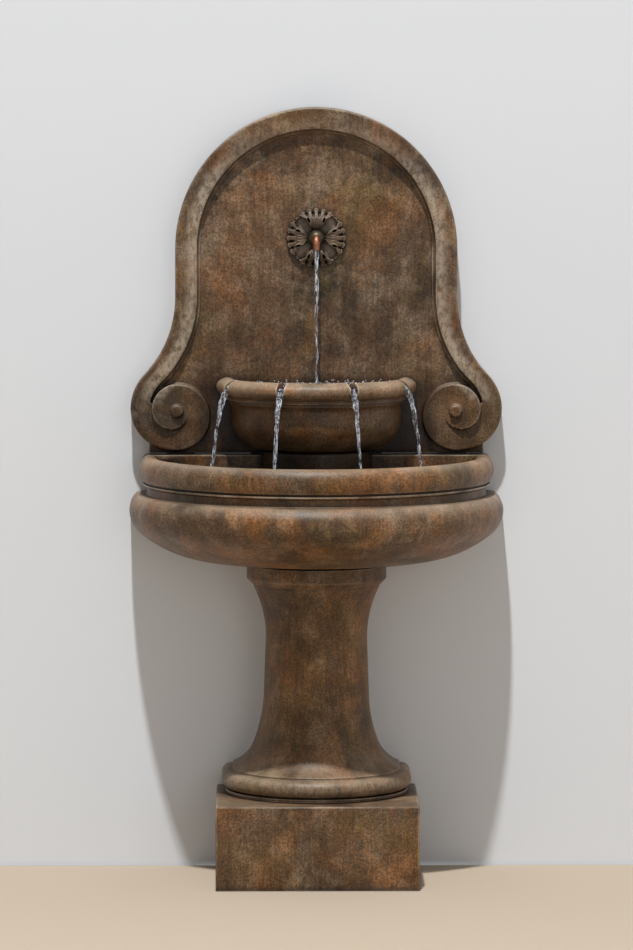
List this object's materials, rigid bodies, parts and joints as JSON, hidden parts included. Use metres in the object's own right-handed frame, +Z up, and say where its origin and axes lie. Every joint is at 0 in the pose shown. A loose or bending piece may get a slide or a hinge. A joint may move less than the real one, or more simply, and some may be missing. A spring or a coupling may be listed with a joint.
{
  "type": "garden wall fountain",
  "caption": "Cast stone wall fountain: plinth, waisted pedestal, half-round basin, scrolled headboard with rosette spout, and an overflowing upper bowl over a hidden pump.",
  "frame": {"origin": "centre of the footprint of the bounding box, at the underside of the plinth", "axes": "+Z up, +X to the right seen from the front, +Y towards the wall, which is the plane y = 0.235 m"},
  "size_m": [0.796, 0.47, 1.6295],
  "materials": {
    "cast_stone": "sandy cast stone, mottled brown patina",
    "lead_grey_shim": "grey setting pad",
    "verdigris_bronze": "weathered bronze",
    "copper": "bright copper tube",
    "brass": "plain brass",
    "clear_vinyl": "cloudy clear vinyl",
    "stainless_steel": "stainless steel",
    "pump_resin": "black potting resin and shell",
    "pump_plastic": "black moulded plastic",
    "dial_plastic": "grey moulded plastic",
    "impeller_plastic": "white moulded plastic",
    "ferrite": "ferrite magnet",
    "shaft_ceramic": "plain ceramic",
    "rubber": "black rubber",
    "water": "clear running water"
  },
  "bodies": {
    "fountain": {"base_plinth": "cast_stone", "pedestal": "cast_stone", "lower_basin": "cast_stone", "headboard": "cast_stone", "setting_pads": "lead_grey_shim", "bowl_support": "cast_stone", "rosette": "cast_stone", "spout_escutcheon": "verdigris_bronze", "spout_tube": "copper", "spout_washer": "rubber", "spout_locknut": "brass", "supply_tube": "clear_vinyl", "hose_clamps": "stainless_steel", "pump_casing": "pump_resin", "pump_chamber": "pump_plastic", "rotor_shaft": "stainless_steel", "shaft_bushes": "shaft_ceramic", "suction_feet": "rubber", "cord_gland": "rubber"},
    "bowl": {"upper_bowl": "cast_stone"},
    "cover": {"pump_cover": "pump_plastic"},
    "dial": {"flow_dial": "dial_plastic"},
    "rotor": {"impeller": "impeller_plastic", "rotor_magnet": "ferrite"},
    "stopper": {"drain_stopper": "rubber"}
  },
  "joints": [
    {"name": "bowl_lift", "type": "slide", "parent": "fountain", "child": "bowl", "axis": [0, 0, 1], "range_m": [0, 0.12]},
    {"name": "pump_cover_slide", "type": "slide", "parent": "fountain", "child": "cover", "axis": [-1, 0, 0], "range_m": [0, 0.022]},
    {"name": "flow_dial_turn", "type": "hinge", "parent": "cover", "child": "dial", "pos_m": [-0.045, 0.145, 0.754], "axis": [1, 0, 0], "range_deg": [0, 90]},
    {"name": "impeller_spin", "type": "hinge", "parent": "fountain", "child": "rotor", "pos_m": [0, 0.145, 0.754], "axis": [1, 0, 0], "continuous": true},
    {"name": "stopper_pull", "type": "slide", "parent": "fountain", "child": "stopper", "axis": [0, 0, 1], "range_m": [0, 0.06]}
  ]
}
